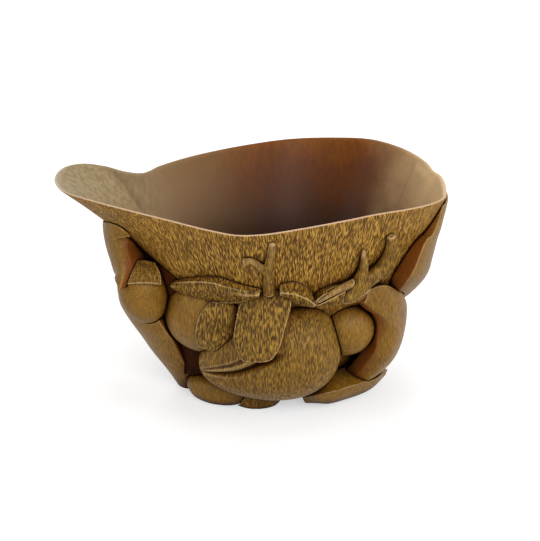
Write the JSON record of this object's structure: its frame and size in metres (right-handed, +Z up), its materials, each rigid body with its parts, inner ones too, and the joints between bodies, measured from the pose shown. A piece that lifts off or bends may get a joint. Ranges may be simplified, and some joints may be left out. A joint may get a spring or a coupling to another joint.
{
  "type": "carved horn libation cup",
  "caption": "Wide cone-shaped cup with a broad spout, its sides and base carved in high relief with fruit, leaves and twigs.",
  "frame": {"origin": "middle of the cup's box, on the ground under the feet", "axes": "-X to the spout, -Y to the side with the large peach that the picture shows, +Z up to the mouth"},
  "size_m": [0.1466, 0.0976, 0.0841],
  "materials": {
    "horn_wall": "honey-brown horn, fibres standing out as a fine upright hatch outside, polished inside",
    "horn_fruit": "honey-brown horn, worn smooth, satin",
    "horn_leaf": "brown horn with fibres showing, satin",
    "horn_twig": "honey-brown horn, satin"
  },
  "bodies": {
    "root": {"bowl": "horn_wall", "front_peach": "horn_fruit", "right_fruit": "horn_fruit", "left_fruit": "horn_fruit", "curled_leaf": "horn_leaf", "bud": "horn_fruit", "back_peach": "horn_fruit", "back_fruit": "horn_fruit", "centre_leaf": "horn_leaf", "small_leaf": "horn_leaf", "folded_leaf": "horn_leaf", "draped_leaf": "horn_leaf", "forked_twig": "horn_twig", "thorn_twig": "horn_twig", "stem": "horn_twig", "right_top_leaf": "horn_leaf", "right_leaf": "horn_leaf", "bud_leaf": "horn_leaf", "left_base_leaf": "horn_leaf", "bud_calyx": "horn_leaf", "outer_petal": "horn_leaf", "back_leaf": "horn_leaf", "back_draped_leaf": "horn_leaf", "back_twig": "horn_twig", "back_stem": "horn_twig", "back_right_leaf": "horn_leaf", "back_left_leaf": "horn_leaf", "right_foot_leaf": "horn_leaf", "left_foot_branch": "horn_twig", "centre_foot": "horn_twig", "back_foot_leaf": "horn_leaf", "back_foot_branch": "horn_twig"}
  },
  "joints": []
}
